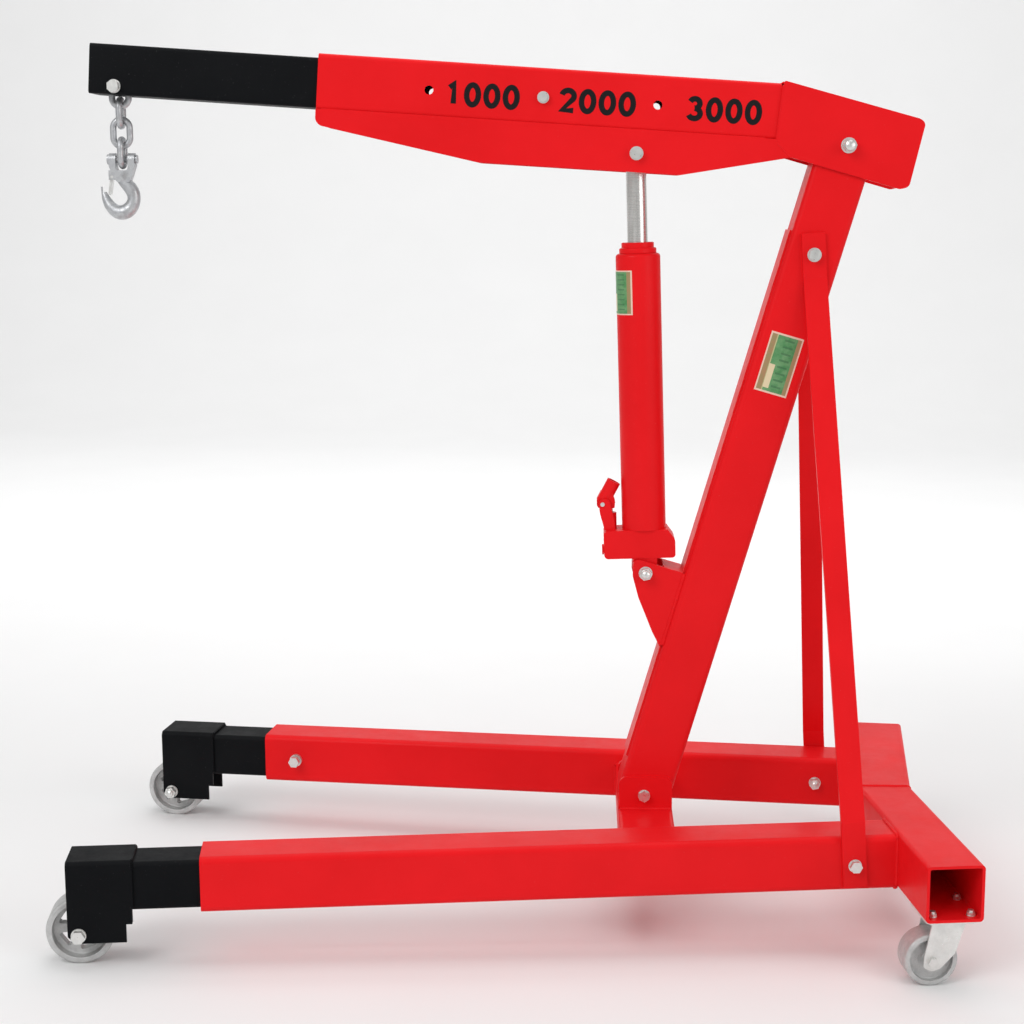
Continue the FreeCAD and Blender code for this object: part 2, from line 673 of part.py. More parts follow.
def boom_pins():
    """Ram pin between the cheeks and the extension's lock pin."""
    grip = DIMS["boom_width"] + 2 * DIMS["cheek_thick"]
    ram = hex_bolt(6.0, grip, 15, (RAM_X, 0, RAM_Z), spin=8)
    keep(group("ram_pin", [ram], BOOM), "ram_pin")
    x = -(DIMS["index_first"] - DIMS["index_pitch"])
    half = DIMS["boom_width"] / 2
    along = Vector(1, 0, 0)
    pieces = [part_cylinder(5.6, 2 * half + 22, at(x, half + 14, INDEX_Z, along, 90)),
              part_cylinder(8.0, 5, at(x, -half, INDEX_Z, along, 90)),
              part_cylinder(2.0, 26, at(x, half + 9, INDEX_Z - 13))]
    pin = fuse("Pin", pieces)
    keep(group("boom_lock_pin", [pin], BOOM), "boom_lock_pin")


def boom_extension():
    """Inner tube with a guide slot for the lock pin and a chain slot below."""
    body = new_body("boom_extension", BOOM)
    width, height, wall = DIMS["inner_width"], DIMS["inner_height"], DIMS["inner_wall"]
    middle = DIMS["boom_wall"] + 0.3 + height / 2
    sketch = new_sketch(body, "YZ_Plane", -DIMS["inner_front"])
    draw_box(sketch, 0, middle, width, height, 5)
    draw_box(sketch, 0, middle, width - 2 * wall, height - 2 * wall, 2)
    extrude(body, sketch, "Pad", "Dims.inner_front - Dims.inner_back")
    reach, half = 9.0, 8.7
    first = -DIMS["index_first"] - reach
    last = -(DIMS["index_first"] - 2 * DIMS["index_pitch"]) + reach
    low, high = INDEX_Z - half, INDEX_Z + half
    slot = [(first, low), (last, low), (last, high), (first, high)]
    cut_outline(body, "XZ_Plane", slot, 400.0, 8.6)
    drill(body, "XZ_Plane", -1000, 14.5, 6.0 + DIMS["running_gap"])
    sketch = new_sketch(body, "XY_Plane", -10)
    draw_box(sketch, -1000, 0, 46, 18, 8)
    extrude(body, sketch, "Pocket", 25.0, reverse=True)
    return keep(body, "boom_extension")


def hook_bolt():
    bolt = hex_bolt(6.0, DIMS["inner_width"], 15, (-1000, 0, 14.5), spin=25)
    return keep(group("hook_bolt", [bolt], BOOM), "hook_bolt")


# ---------------------------------------------------------------- jack
def jack_base():
    """Cast base with the pivot lug below and the pump boss beside the cylinder."""
    body = new_body("jack_base", JACK)
    sketch = new_sketch(body, "XZ_Plane")
    draw_outline(sketch, [(-57.5, 20), (43, 20), (43, 46), (33, 60), (-57.5, 60)], [6, 5, 12, 0, 6])
    extrude(body, sketch, "Pad", 52.0, both=True)
    sketch = new_sketch(body, "XZ_Plane")
    draw_outline(sketch, [(-17, 24), (-17, -17), (17, -17), (17, 24)], [0, 16, 16, 0])
    extrude(body, sketch, "Pad", 50.0, both=True)
    drill(body, "XZ_Plane", 0, 0, 6.0 + DIMS["running_gap"])
    sketch = new_sketch(body, "XY_Plane", 60)
    draw_circle(sketch, PUMP_X, 0, 9)
    extrude(body, sketch, "Pad", 23.0)
    sketch = new_sketch(body, "XY_Plane", 83)
    draw_circle(sketch, PUMP_X, 0, 4.0 + DIMS["running_gap"])
    extrude(body, sketch, "Pocket", 30.0)
    sketch = new_sketch(body, "YZ_Plane", -57.5)
    draw_circle(sketch, -12, 32, 5.0 + DIMS["running_gap"])
    extrude(body, sketch, "Pocket", 14.0, reverse=True)
    return keep(body, "jack_base")


PUMP_X = -47.5          # pump plunger's centre line
LEVER_X = -58.0         # pump lever's pin
LEVER_Z = 97.0


def lever_post(name, side):
    """Upright ear that carries the pump lever's pin."""
    points = [(-56, 60), (-41, 60), (-42, 72), (-48, 104), (-64, 104), (-62, 84)]
    y_low = 11.0 if side > 0 else -15.0
    body = side_plate("lever_post_" + name, JACK, points, y_low, 4.0, [0, 0, 4, 7, 7, 12])
    drill(body, "XZ_Plane", LEVER_X, LEVER_Z, 3.0 + DIMS["running_gap"])
    return body


def turned(body, outline, radii):
    """Solid of revolution about the body's Z axis from an (r, z) outline."""
    sketch = new_sketch(body, "XZ_Plane")
    draw_outline(sketch, outline, radii)
    turn = body.newObject("PartDesign::Revolution", body.Name + "_Turn")
    turn.Profile = sketch
    turn.ReferenceAxis = (sketch, ["V_Axis"])
    turn.Angle = 360.0
    body.Tip = turn
    doc.recompute()


def jack_cylinder():
    """Long tube with a rounded shoulder at its top."""
    body = new_body("jack_cylinder", JACK)
    bore, low, high = 22.0 + DIMS["running_gap"], DIMS["cylinder_base"], DIMS["cylinder_top"]
    outer = DIMS["cylinder_radius"]
    turned(body, [(bore, low), (outer, low), (outer, high), (bore, high)], [0, 0, 5, 0])
    return keep(body, "jack_cylinder")


def jack_gland():
    """Stepped collar that closes the cylinder's top around the rod."""
    body = new_body("jack_gland", JACK)
    bore, low, high = DIMS["rod_radius"] + DIMS["running_gap"], DIMS["cylinder_top"], DIMS["gland_top"]
    step = low + 7.5
    turned(body, [(bore, low), (25.8, low), (25.8, step), (22.5, step), (22.5, high), (bore, high)],
           [0, 0.8, 2, 1, 1.5, 0])
    return keep(body, "jack_gland")


def ram_rod():
    """Piston and rod; the upper end stops just short of the ram pin."""
    body = new_body("ram_rod", JACK)
    sketch = new_sketch(body, "XY_Plane", 150)
    draw_circle(sketch, 0, 0, DIMS["rod_radius"])
    extrude(body, sketch, "Pad", JACK_REACH - 11 - 150)
    sketch = new_sketch(body, "XY_Plane", 150)
    draw_circle(sketch, 0, 0, 22.0)
    extrude(body, sketch, "Pad", 28.0)
    return keep(body, "ram_rod")


def pump():
    """Plunger, rocking lever with the handle socket, its pin, release valve."""
    plunger = part_cylinder(4.0, 33.5, at(PUMP_X, 0, 56))
    keep(group("pump_plunger", [plunger], JACK), "pump_plunger")
    tilt = Rotation(Y_AXIS, 29.0)
    pivot = JACK.multiply(at(LEVER_X, 0, LEVER_Z))
    body = new_body("lever_arm", pivot)
    sketch = new_sketch(body, "XZ_Plane")
    outline = [(-8, -7), (17, -7), (18, 2), (15, 14), (-2, 17), (-8, 6)]
    draw_outline(sketch, outline, [6, 2, 3, 0, 0, 4])
    extrude(body, sketch, "Pad", 17.0, both=True)
    start = Vector(2.5, 0, 4.5)
    outer = part_cylinder(9.8, 30, Placement(start, tilt))
    arm = fuse("Arm", [body_copy(body), outer])
    inner = part_cylinder(7.0, 40, Placement(start + tilt.multVec(Vector(0, 0, 8)), tilt))
    eye = part_cylinder(3.0 + DIMS["running_gap"], 60, at(0, 30, 0, Vector(1, 0, 0), 90))
    lever = subtract("Lever", arm, fuse("LeverBores", [inner, eye]))
    keep(group("pump_lever", [lever], pivot), "pump_lever")
    pin = part_cylinder(3.0, 34, at(LEVER_X, 17, LEVER_Z, Vector(1, 0, 0), 90))
    keep(group("lever_pin", [pin], JACK), "lever_pin")
    along = Vector(0, 1, 0)
    stem = part_cylinder(5.0, 10, at(-47.8, -12, 32, along, -90))
    knob = part_prism(13, 2.6, at(-57.7, -12, 32, along, -90))
    keep(group("release_valve", [fuse("Valve", [stem, knob])], JACK), "release_valve")


def body_copy(body):
    """Plain solid of a finished body in its own axes, for a boolean with primitives."""
    copy = doc.addObject("Part::Feature", body.Name + "_Solid")
    copy.Shape = body.Tip.Shape.copy()
    return copy


# ---------------------------------------------------------------- chain and hook
def chain_link(index):
    """Welded round link; odd links face the side, even links are turned square."""
    wire = DIMS["link_wire"] / 2
    bend = DIMS["link_width"] / 2 - wire
    straight = DIMS["link_pitch"] + 2 * wire - 2 * bend
    level = CHAIN_TOP - (index - 1) * (DIMS["link_pitch"] - 0.05)
    frame = HANG.multiply(at(0, 0, level, Z_AXIS, 0 if index % 2 else 90))
    body = new_body("chain_link_%d" % index, frame)
    path = new_sketch(body, "XZ_Plane")
    half = straight / 2
    path.addGeometry(Part.LineSegment(Vector(bend, -half, 0), Vector(bend, half, 0)), False)
    path.addGeometry(Part.Arc(Vector(bend, half, 0), Vector(0, half + bend, 0),
                              Vector(-bend, half, 0)), False)
    path.addGeometry(Part.LineSegment(Vector(-bend, half, 0), Vector(-bend, -half, 0)), False)
    path.addGeometry(Part.Arc(Vector(-bend, -half, 0), Vector(0, -half - bend, 0),
                              Vector(bend, -half, 0)), False)
    section = new_sketch(body, "XY_Plane")
    draw_circle(section, bend, 0, wire)
    doc.recompute()
    sweep = body.newObject("PartDesign::AdditivePipe", body.Name + "_Pipe")
    sweep.Profile = section
    sweep.Spine = path
    body.Tip = sweep
    doc.recompute()
    return keep(body, "chain_link_%d" % index)


# Centre of the first link below the hook bolt: its top bend rests on the bolt.
CHAIN_TOP = 6.0 + 0.03 + DIMS["link_wire"] / 2 - (DIMS["link_pitch"] + DIMS["link_wire"]) / 2


def hook():
    """Clevis ears, neck and a tapering round-section hook, open to the front."""
    last = CHAIN_TOP - 3 * (DIMS["link_pitch"] - 0.05)
    wire_low = last - (DIMS["link_pitch"] + DIMS["link_wire"]) / 2
    pin_z = wire_low + DIMS["link_wire"] - 0.05 + 0.08
    frame = HANG.multiply(at(0, 0, pin_z))
    sections = [  # (x, z, radius, direction of travel in degrees)
        (0.0, -22.0, 9.0, -90), (4.0, -33.0, 9.0, -62), (13.5, -48.0, 9.3, -66),
        (11.5, -62.0, 9.6, -110), (4.0, -70.5, 10.2, -150), (-7.5, -72.5, 9.8, 172),
        (-19.0, -64.5, 8.0, 132), (-26.0, -51.0, 5.2, 108), (-29.5, -37.0, 2.4, 102)]
    wires = []
    for x, z, radius, heading in sections:
        axis = Vector(math.cos(math.radians(heading)), 0, math.sin(math.radians(heading)))
        wires.append(Part.Wire(Part.makeCircle(radius, Vector(x, 0, z), axis)))
    curve = doc.addObject("Part::Feature", "HookCurve")
    curve.Shape = Part.makeLoft(wires, True, False)
    along = Rotation(Y_AXIS, 90)
    yoke = side_plate("HookYoke", Placement(), [
        (-18, 0), (-18, -9), (-12, -25), (-7, -31), (10, -31), (13, -24), (18, -9), (18, 0),
        (8.5, 0), (8.5, -15), (-8.5, -15), (-8.5, 0)], -8.5, 17.0, [0] * 9 + [4, 4, 0])
    pieces = [curve, body_copy(yoke)]
    for x in (-18.0, 8.5):
        pieces.append(part_cylinder(8.5, 9.5, Placement(Vector(x, 0, 0), along)))
    for y in (-8.5, 5.5):
        pieces.append(part_box((9, 3, 13), at(-18.5, y, -28)))
    solid = fuse("HookSolid", pieces)
    bores = fuse("HookBores", [
        part_cylinder(4.5 + DIMS["running_gap"], 60, Placement(Vector(-30, 0, 0), along)),
        part_cylinder(2.0, 40, at(-14, 20, -24, Vector(1, 0, 0), 90)),
        part_box((20.5, 11, 25), at(-30, -5.5, -44.5))])
    keep(group("hook_node", [subtract("HookCut", solid, bores)], frame), "hook")
    pin = fuse("Clevis", [part_cylinder(4.5, 38, Placement(Vector(-19, 0, 0), along)),
                          part_cylinder(7.0, 2.5, Placement(Vector(-21, 0, 0), along)),
                          part_cylinder(6.0, 2.5, Placement(Vector(18.5, 0, 0), along))])
    keep(group("clevis_pin", [pin], frame), "clevis_pin")
    return frame


def hook_latch(frame):
    """Spring latch that closes the throat, hinged under the front ear."""
    pin = part_cylinder(1.95, 17, at(-14, 8.5, -24, Vector(1, 0, 0), 90))
    keep(group("latch_pin", [pin], frame), "latch_pin")
    body = new_body("hook_latch", frame)
    sketch = new_sketch(body, "XZ_Plane")
    outline = [(-17.5, -27.5), (-10.5, -27.5), (-10.5, -20.5), (-17.5, -20.5)]
    draw_outline(sketch, outline, 3.4)
    extrude(body, sketch, "Pad", 10.0, both=True)
    sketch = new_sketch(body, "XZ_Plane")
    draw_outline(sketch, [(-17.4, -25), (-13.5, -26), (-16.5, -46), (-18.8, -50), (-20.8, -46)],
                 [0, 0, 0, 0.8, 0])
    extrude(body, sketch, "Pad", 9.0, both=True)
    drill(body, "XZ_Plane", -14, -24, 2.0)
    return keep(body, "hook_latch")


def finish():
    doc.recompute()
    os.makedirs("parts", exist_ok=True)
    bad = [i.Name for i in doc.Objects if "Invalid" in i.State or "Error" in i.State]
    if bad:
        raise RuntimeError("objects in error: %s" % bad)
    for node in parts:
        shape = node.Shape
        if shape.isNull() or not shape.isValid() or shape.Volume <= 0:
            raise RuntimeError("bad shape: %s" % node.Label)
        shape.exportStep(os.path.join("parts", node.Label + ".step"))
    for node in parts:
        print(node.Label, len(node.Shape.Solids), node.Shape.BoundBox)
    box = FreeCAD.BoundBox()
    for node in parts:
        box.add(node.Shape.BoundBox)
    print("nodes", len(parts), "box", box)


crossmember()
mast()
mast_front_plate()
jack_bracket_web()
for label, sign in SIDES:
    rear_beam(label, sign)
    leg(label, sign)
    strut(label, sign)
    leg_extension(label, sign)
    wheel_bracket(label, sign)
    front_wheel(label, sign)
    front_axle(label, sign)
    boom_cheek(label, sign)
gather("mast_foot_plates", [foot_plate(label, sign) for label, sign in SIDES])
gather("jack_bracket_plates", [jack_bracket(label, sign) for label, sign in SIDES])
gather("leg_lock_bolts", [lock_bolt(label, sign) for label, sign in SIDES])
gather("lever_posts", [lever_post(label, sign) for label, sign in SIDES])
casters = [caster(label, sign) for label, sign in SIDES]
gather("caster_plates", [pair[0] for pair in casters])
gather("caster_bolts", [pair[1] for pair in casters])
frame_bolts()
boom_sleeve()
boom_head()
boom_pins()
boom_extension()
hook_bolt()
jack_base()
jack_cylinder()
jack_gland()
ram_rod()
pump()
for number in (1, 2, 3, 4):
    chain_link(number)
hook_latch(hook())
finish()
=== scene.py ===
import json
import math
import random

import bpy
from mathutils import Matrix, Vector


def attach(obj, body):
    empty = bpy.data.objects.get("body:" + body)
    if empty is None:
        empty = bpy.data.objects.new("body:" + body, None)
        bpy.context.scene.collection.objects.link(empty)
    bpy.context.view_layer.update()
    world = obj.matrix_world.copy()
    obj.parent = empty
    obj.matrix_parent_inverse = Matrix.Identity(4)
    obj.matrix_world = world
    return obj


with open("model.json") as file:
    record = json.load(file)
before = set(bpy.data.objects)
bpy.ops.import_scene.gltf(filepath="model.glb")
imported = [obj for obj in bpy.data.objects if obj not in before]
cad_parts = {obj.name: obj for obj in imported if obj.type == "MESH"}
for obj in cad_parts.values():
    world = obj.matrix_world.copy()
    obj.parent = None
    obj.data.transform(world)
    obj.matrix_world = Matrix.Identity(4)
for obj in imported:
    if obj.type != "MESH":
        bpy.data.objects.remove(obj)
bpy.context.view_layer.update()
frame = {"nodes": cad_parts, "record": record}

MM = 0.001
SHIFT = 533.25           # rear cross tube to the middle of the row frame, mm
STANCE_TILT = -1.195     # the rear of the base stands higher on its casters
STANCE_LIFT = 17.70
SPLAY = 7.0              # legs' splay, degrees
LEAN = 16.367            # mast's lean
BOOM_TILT = 4.0
JACK_TILT = -1.709
MAST_HALF = 37.5
BOOM_HALF = 38.5
CHEEK = 4.0
LEG_OFFSET = 168.0       # leg's middle from the mid-plane, in the leg's own axes
LEG_SIDE = 75.0
LEG_MIDDLE = 112.5       # height of the leg's middle
REAR_MIDDLE = 115.3
REAR_SIDE = 76.0
CYLINDER_RADIUS = 31.0
M10, M12, M14 = 5.0, 6.0, 7.0    # bolt radii
SIDES = (("near", -1), ("far", 1))

STANCE = (Matrix.Translation(Vector((SHIFT, 0, STANCE_LIFT)) * MM)
          @ Matrix.Rotation(math.radians(STANCE_TILT), 4, "Y"))


def place(x, y, z, axis="Y", degrees=0.0):
    """Frame with its origin at a point of the hoist's own axes, in mm, turned about one axis."""
    local = Matrix.Translation(Vector((x, y, z)) * MM)
    return STANCE @ local @ Matrix.Rotation(math.radians(degrees), 4, axis)


WORLD = place(0, 0, 0)
MAST = place(-348, 0, 150, "Y", LEAN)
BOOM = place(-80, 0, 1062.5, "Y", BOOM_TILT)
JACK = place(-348, 0, 472.5, "Y", JACK_TILT)


def side_frame(side):
    """Axes of the leg on one side, turned out by the splay."""
    return place(0, 0, 0, "Z", -side * SPLAY)


# ---------------------------------------------------------------- node helpers
class Nodes:
    """A material's node tree with short calls for the nodes used here."""

    def __init__(self, name):
        self.material = bpy.data.materials.new(name)
        self.material.use_nodes = True
        self.tree = self.material.node_tree
        self.shader = self.tree.nodes["Principled BSDF"]
        self.coords = self.tree.nodes.new("ShaderNodeTexCoord")

    def add(self, kind, **inputs):
        node = self.tree.nodes.new("ShaderNode" + kind)
        for key, value in inputs.items():
            self.set(node, key.replace("_", " "), value)
        return node

    def set(self, node, key, value):
        if isinstance(value, bpy.types.NodeSocket):
            self.tree.links.new(value, node.inputs[key])
        else:
            node.inputs[key].default_value = value

    def mapping(self, scale):
        node = self.add("Mapping", Vector=self.coords.outputs["Object"])
        node.inputs["Scale"].default_value = scale
        return node.outputs["Vector"]

    def noise(self, scale, detail=3.0, rough=0.55, vector=None):
        vector = vector or self.coords.outputs["Object"]
        node = self.add("TexNoise", Vector=vector, Scale=scale, Detail=detail, Roughness=rough)
        return node.outputs["Fac"]

    def cells(self, scale, vector=None):
        vector = vector or self.coords.outputs["Object"]
        node = self.add("TexVoronoi", Vector=vector, Scale=scale)
        return node.outputs["Color"]

    def remap(self, value, low, high, to_low=0.0, to_high=1.0):
        node = self.add("MapRange", Value=value)
        node.inputs["From Min"].default_value = low
        node.inputs["From Max"].default_value = high
        node.inputs["To Min"].default_value = to_low
        node.inputs["To Max"].default_value = to_high
        return node.outputs["Result"]

    def mix(self, factor, first, second):
        node = self.tree.nodes.new("ShaderNodeMix")
        node.data_type = "RGBA"
        sockets = (node.inputs["Factor"], node.inputs[6], node.inputs[7])
        for socket, value in zip(sockets, (factor, first, second)):
            if isinstance(value, bpy.types.NodeSocket):
                self.tree.links.new(value, socket)
            elif isinstance(value, (tuple, list)):
                socket.default_value = (*value, 1.0)
            else:
                socket.default_value = value
        return node.outputs[2]

    def calc(self, operation, first, second):
        node = self.tree.nodes.new("ShaderNodeMath")
        node.operation = operation
        for socket, value in zip(node.inputs, (first, second)):
            if isinstance(value, bpy.types.NodeSocket):
                self.tree.links.new(value, socket)
            else:
                socket.default_value = value
        return node.outputs[0]

    def bump(self, height, strength, distance, normal=None):
        node = self.add("Bump", Height=height, Strength=strength, Distance=distance)
        if normal is not None:
            self.tree.links.new(normal, node.inputs["Normal"])
        return node.outputs["Normal"]

    def finish(self, **inputs):
        for key, value in inputs.items():
            self.set(self.shader, key.replace("_", " "), value)
        return self.material


# ---------------------------------------------------------------- materials
def paint(name, base, shade, gloss, orange_peel, coat, specular):
    """Sprayed enamel: slow tone change, orange peel, uneven gloss, dust specks."""
    n = Nodes(name)
    tone = n.mix(n.remap(n.noise(7.0, 4.0), 0.35, 0.7), base, shade)
    specks = n.remap(n.noise(420.0, 2.0), 0.70, 0.76)
    dusty = n.mix(n.calc("MULTIPLY", specks, 0.10), tone, tuple(0.6 * c + 0.25 for c in base))
    rough = n.remap(n.noise(26.0, 5.0, 0.7), 0.3, 0.75, gloss, gloss + 0.14)
    normal = n.bump(n.noise(300.0, 2.0), 0.12, 0.0006 * orange_peel)
    return n.finish(Base_Color=dusty, Roughness=rough, Normal=normal,
                    Coat_Weight=coat, Coat_Roughness=0.12, Specular_IOR_Level=specular)


def plated(name, base, shade, roughness, grain):
    """Zinc plated steel: cloudy tone, fine brushed grain."""
    n = Nodes(name)
    tone = n.mix(n.remap(n.noise(60.0, 5.0, 0.7), 0.35, 0.68), base, shade)
    rough = n.remap(n.noise(180.0, 3.0), 0.3, 0.7, roughness - 0.08, roughness + 0.12)
    normal = n.bump(n.noise(900.0, 3.0), 0.18, grain)
    return n.finish(Base_Color=tone, Metallic=0.85, Roughness=rough, Normal=normal)


def galvanised(name):
    """Hot-dip coating: crystal spangle, dull patches and small lumps."""
    n = Nodes(name)
    spangle = n.mix(n.remap(n.cells(260.0), 0.2, 0.9), (0.56, 0.57, 0.58), (0.46, 0.47, 0.49))
    tone = n.mix(n.remap(n.noise(55.0, 5.0), 0.55, 0.85), spangle, (0.30, 0.295, 0.29))
    rough = n.remap(n.cells(260.0), 0.0, 1.0, 0.38, 0.52)
    normal = n.bump(n.noise(240.0, 4.0, 0.65), 0.35, 0.0006)
    return n.finish(Base_Color=tone, Metallic=0.8, Roughness=rough, Normal=normal)


def ground_rod(name):
    """Ground and polished rod: fine rings of grinding marks, thin oil film."""
    n = Nodes(name)
    rings = n.noise(1.0, 2.0, 0.5, n.mapping((12.0, 12.0, 2600.0)))
    streak = n.noise(1.0, 3.0, 0.6, n.mapping((240.0, 240.0, 14.0)))
    tone = n.mix(n.remap(streak, 0.4, 0.7), (0.80, 0.79, 0.77), (0.64, 0.63, 0.60))
    rough = n.remap(rings, 0.3, 0.7, 0.18, 0.34)
    normal = n.bump(rings, 0.05, 0.0002)
    return n.finish(Base_Color=tone, Metallic=0.95, Roughness=rough, Normal=normal)


def cast_wheel(name):
    """Sand-cast grey iron: pitted skin, scuffed tone."""
    n = Nodes(name)
    tone = n.mix(n.remap(n.noise(38.0, 6.0, 0.7), 0.35, 0.7), (0.66, 0.66, 0.655), (0.46, 0.46, 0.455))
    pits = n.remap(n.noise(330.0, 4.0, 0.7), 0.45, 0.62)
    normal = n.bump(pits, 0.4, 0.0007)
    rough = n.remap(n.noise(90.0, 4.0), 0.3, 0.7, 0.42, 0.66)
    return n.finish(Base_Color=tone, Metallic=0.55, Roughness=rough, Normal=normal)


def ink(name):
    """Stencilled black ink, thin in places so the red shows through."""
    n = Nodes(name)
    thin = n.remap(n.noise(700.0, 4.0, 0.7), 0.66, 0.80)
    tone = n.mix(n.calc("MULTIPLY", thin, 0.55), (0.012, 0.012, 0.013), (0.30, 0.015, 0.015))
    rough = n.remap(n.noise(140.0), 0.3, 0.7, 0.38, 0.55)
    normal = n.bump(n.noise(500.0, 2.0), 0.15, 0.0002)
    return n.finish(Base_Color=tone, Roughness=rough, Normal=normal, Specular_IOR_Level=0.1)


def plate_print(name, green_first):
    """Printed foil plate: pale border, green field, plain bars and a cream box."""
    n = Nodes(name)
    split = n.add("SeparateXYZ", Vector=n.coords.outputs["UV"])
    u, v = split.outputs["X"], split.outputs["Y"]

    def between(value, low, high):
        above = n.calc("GREATER_THAN", value, low)
        below = n.calc("LESS_THAN", value, high)
        return n.calc("MULTIPLY", above, below)

    cloud = n.remap(n.noise(120.0, 4.0), 0.35, 0.65)
    field = n.mix(cloud, (0.07, 0.27, 0.09), (0.16, 0.37, 0.16))
    brown = n.mix(cloud, (0.42, 0.24, 0.12), (0.33, 0.27, 0.12))
    colour = n.mix(between(u, 0.04, 0.20 if green_first else 0.02), field, brown)
    colour = n.mix(between(u, 0.84, 0.96), colour, brown)
    line = between(u, 0.20, 0.235)
    colour = n.mix(line, colour, (0.52, 0.52, 0.26))
    box = n.calc("MULTIPLY", between(u, 0.22, 0.40), between(v, 0.08, 0.48))
    colour = n.mix(box, colour, (0.78, 0.66, 0.42))
    stripe = n.calc("FRACT", n.calc("MULTIPLY", v, 9.0), 0.0)
    bars = n.calc("MULTIPLY", between(u, 0.46, 0.76), between(stripe, 0.0, 0.28))
    colour = n.mix(n.calc("MULTIPLY", bars, 0.55), colour, (0.03, 0.12, 0.05))
    inner = n.calc("MULTIPLY", between(u, 0.045, 0.955), between(v, 0.03, 0.97))
    colour = n.mix(inner, (0.85, 0.60, 0.48), colour)
    rough = n.remap(n.noise(200.0), 0.3, 0.7, 0.30, 0.46)
    normal = n.bump(n.noise(90.0, 2.0), 0.1, 0.0003)
    return n.finish(Base_Color=colour, Roughness=rough, Normal=normal, Metallic=0.1)


def studio_paper(name):
    """Matt paper for the floor and the wall behind."""
    n = Nodes(name)
    tone = n.mix(n.noise(3.0, 2.0), (0.86, 0.86, 0.86), (0.89, 0.89, 0.89))
    normal = n.bump(n.noise(60.0), 0.02, 0.001)
    return n.finish(Base_Color=tone, Roughness=0.9, Normal=normal)


MATERIALS = {
    "red_paint": paint("red_enamel", (0.83, 0.010, 0.014), (0.76, 0.008, 0.011), 0.34, 1.0, 0.03, 0.09),
    "black_paint": paint("black_satin", (0.0035, 0.004, 0.005), (0.006, 0.0065, 0.0075),
                         0.46, 1.6, 0.0, 0.07),
    "zinc": plated("zinc_plate", (0.82, 0.82, 0.80), (0.70, 0.70, 0.68), 0.34, 0.0002),
    "galvanised": galvanised("galvanised_coat"),
    "ground_steel": ground_rod("ground_rod"),
    "cast_iron": cast_wheel("cast_grey"),
    "ink": ink("stencil_ink"),
    "plate_mast": plate_print("printed_plate_a", True),
    "plate_jack": plate_print("printed_plate_b", False),
}


def dress_nodes():
    """Each CAD node takes the material of its slot."""
    slots = {s["node"]: s["material_slot"] for s in frame["record"]["subparts"]}
    for name, obj in frame["nodes"].items():
        obj.data.materials.clear()
        obj.data.materials.append(MATERIALS[slots[name]])


# ---------------------------------------------------------------- mesh helpers
def add_piece(name, verts, faces, place_at, body, slot, material=None, uvs=None, smooth=True):
    """Mesh piece from local millimetres, put in the row frame and on its body."""
    mesh = bpy.data.meshes.new(name)
    mesh.from_pydata([place_at @ (Vector(v) * MM) for v in verts], [], faces)
    if uvs is not None:
        layer = mesh.uv_layers.new(name="print")
        for loop in mesh.loops:
            layer.data[loop.index].uv = uvs[loop.vertex_index]
    mesh.polygons.foreach_set("use_smooth", [smooth] * len(mesh.polygons))
    mesh.materials.append(material or MATERIALS[slot])
    obj = bpy.data.objects.new(name, mesh)
    bpy.context.scene.collection.objects.link(obj)
    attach(obj, body)
    return obj


def resample(points, step, closed=False):
    """Evenly spaced points along a polyline."""
    corners = [Vector(p) for p in points]
    if closed:
        corners.append(corners[0])
    out = []
    for a, b in zip(corners, corners[1:]):
        count = max(1, round((b - a).length / step))
        out.extend(a.lerp(b, i / count) for i in range(count))
    if not closed:
        out.append(corners[-1])
    return out


def bead_rings(points, radius, seed, closed=False, sides=8):
    """Rings of a rippled weld bead swept along a path."""
    step, ripple = 1.5, 4.6
    centres = resample(points, step, closed)
    shake = random.Random(seed)
    rings, count, travelled = [], len(centres), 0.0
    for i, centre in enumerate(centres):
        before = centres[i - 1] if (closed or i > 0) else centre
        after = centres[(i + 1) % count] if (closed or i < count - 1) else centre
        along = (after - before).normalized()
        helper = Vector((0, 0, 1)) if abs(along.z) < 0.9 else Vector((1, 0, 0))
        u = along.cross(helper).normalized()
        v = along.cross(u)
        phase = (travelled % ripple) / ripple
        size = radius * (0.86 + 0.20 * math.sin(math.pi * phase) + shake.uniform(-0.04, 0.04))
        if not closed and i in (0, count - 1):
            size *= 0.25
        drift = u * shake.uniform(-0.1, 0.1) * radius
        rings.append([centre + drift + (u * math.cos(t) + v * math.sin(t)) * size
                      for t in (2 * math.pi * k / sides for k in range(sides))])
        travelled += step
    return rings


def skin(rings, closed=False):
    """Quads between rings, with both ends filled when the sweep is open."""
    sides = len(rings[0])
    verts = [p for ring in rings for p in ring]
    faces = []
    last = len(rings) if closed else len(rings) - 1
    for i in range(last):
        a, b = i * sides, ((i + 1) % len(rings)) * sides
        for k in range(sides):
            j = (k + 1) % sides
            faces.append((a + k, a + j, b + j, b + k))
    if not closed:
        faces.append(tuple(reversed(range(sides))))
        faces.append(tuple((len(rings) - 1) * sides + k for k in range(sides)))
    return verts, faces


def weld(name, paths, radius, place_at, body, slot="red_paint", closed=False):
    """One piece holding the weld beads along several paths."""
    verts, faces = [], []
    for index, path in enumerate(paths):
        more, quads = skin(bead_rings(path, radius, len(name) + index, closed), closed)
        faces.extend(tuple(k + len(verts) for k in quad) for quad in quads)
        verts.extend(more)
    return add_piece(name, verts, faces, place_at, body, slot)


